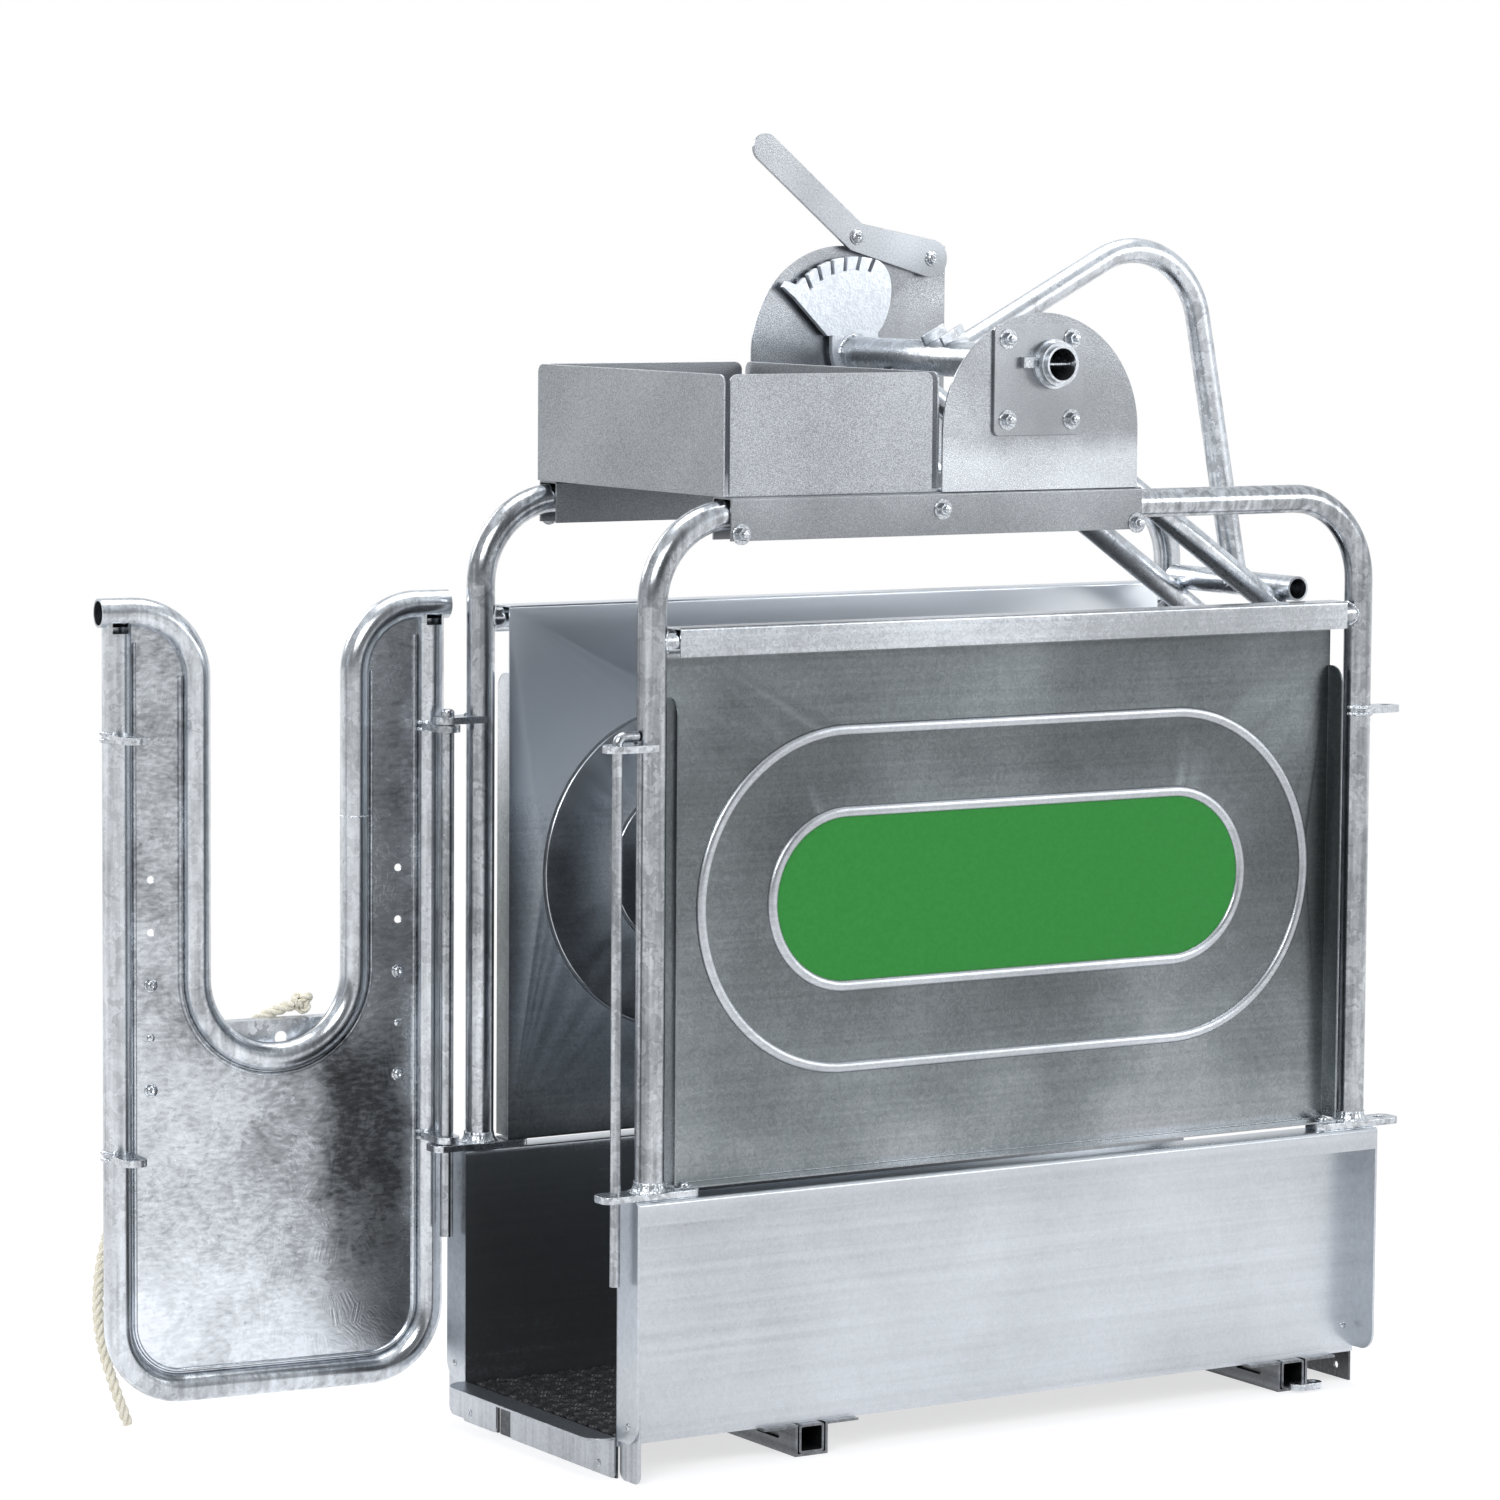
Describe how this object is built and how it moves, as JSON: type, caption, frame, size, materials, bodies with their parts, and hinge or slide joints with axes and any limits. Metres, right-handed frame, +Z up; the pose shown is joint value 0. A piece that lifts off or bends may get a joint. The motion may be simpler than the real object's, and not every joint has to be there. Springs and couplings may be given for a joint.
{
  "type": "calf squeeze chute",
  "caption": "Calf squeeze chute: sheet-metal box and tube frame with side panels, swinging neck door, drop rod, tool tray and a ratcheting squeeze clamp with hoop handle.",
  "frame": {"origin": "floor level on the centre line, at the middle of the front cross-member's foot", "axes": "+X along the chute from the door end to the head end, +Y from the near side to the side with the door hinge and the release lever, +Z up"},
  "size_m": [1.5079, 0.5808, 1.5151],
  "materials": {
    "galvanised_steel": "hot-dip galvanised, mottled",
    "zinc_sheet": "pre-galvanised sheet, satin",
    "coated_sheet": "zinc-aluminium coated sheet, fine grain",
    "black_rubber": "matt, patterned",
    "green_film": "plain green film",
    "cream_rope": "twisted rope"
  },
  "bodies": {
    "frame": {"near_box_wall": "zinc_sheet", "far_box_wall": "zinc_sheet", "floor_pan": "zinc_sheet", "rubber_mat": "black_rubber", "sill_plate": "zinc_sheet", "near_corner_plate": "zinc_sheet", "far_corner_plate": "zinc_sheet", "front_cross_channel": "galvanised_steel", "rear_cross_channel": "galvanised_steel", "front_cross_tube": "galvanised_steel", "rear_cross_tube": "galvanised_steel", "rear_eye": "galvanised_steel", "near_frame_tube": "galvanised_steel", "far_frame_tube": "galvanised_steel", "near_rail": "galvanised_steel", "far_rail": "galvanised_steel", "door_near_base_plate": "galvanised_steel", "door_far_base_plate": "galvanised_steel", "head_near_base_plate": "galvanised_steel", "head_far_base_plate": "galvanised_steel", "door_near_lug": "galvanised_steel", "door_far_lug": "galvanised_steel", "head_near_lug": "galvanised_steel", "head_far_lug": "galvanised_steel", "near_side_panel": "zinc_sheet", "far_side_panel": "zinc_sheet", "near_inset": "green_film", "far_inset": "green_film", "near_platform_channel": "coated_sheet", "far_platform_channel": "coated_sheet", "tool_tray": "coated_sheet", "near_arch": "coated_sheet", "far_arch": "coated_sheet", "near_bearing_plate": "coated_sheet", "far_bearing_plate": "coated_sheet", "hinge_rod": "galvanised_steel"},
    "door": {"door_outer_tube": "galvanised_steel", "door_neck_tube": "galvanised_steel", "door_panel": "galvanised_steel", "upper_hinge_lug": "galvanised_steel", "upper_latch_lug": "galvanised_steel", "lower_hinge_lug": "galvanised_steel", "lower_latch_lug": "galvanised_steel", "door_bracket": "galvanised_steel", "rope_knot": "cream_rope", "tie_rope": "cream_rope"},
    "clamp": {"torsion_tube": "galvanised_steel", "near_arm": "galvanised_steel", "far_arm": "galvanised_steel", "clamp_cross_tube": "galvanised_steel", "hoop_handle": "galvanised_steel", "near_cheek": "galvanised_steel", "far_cheek": "galvanised_steel", "ratchet_sector": "galvanised_steel"},
    "lever": {"release_lever": "coated_sheet"},
    "latch_rod": {"drop_rod": "galvanised_steel"}
  },
  "joints": [
    {"name": "door_hinge", "type": "hinge", "parent": "frame", "child": "door", "pos_m": [-0.269, 0.1943, 0.33], "axis": [0, 0, 1], "range_deg": [-23, 95.7]},
    {"name": "latch_slide", "type": "slide", "parent": "frame", "child": "latch_rod", "axis": [0, 0, 1], "range_m": [0, 0.602]},
    {"name": "clamp_pivot", "type": "hinge", "parent": "frame", "child": "clamp", "pos_m": [0.296, 0, 1.25], "axis": [0, 1, 0], "range_deg": [-70, 40]},
    {"name": "lever_pivot", "type": "hinge", "parent": "frame", "child": "lever", "pos_m": [0.4073, 0.197, 1.3655], "axis": [0, 1, 0], "range_deg": [0, 20]}
  ]
}
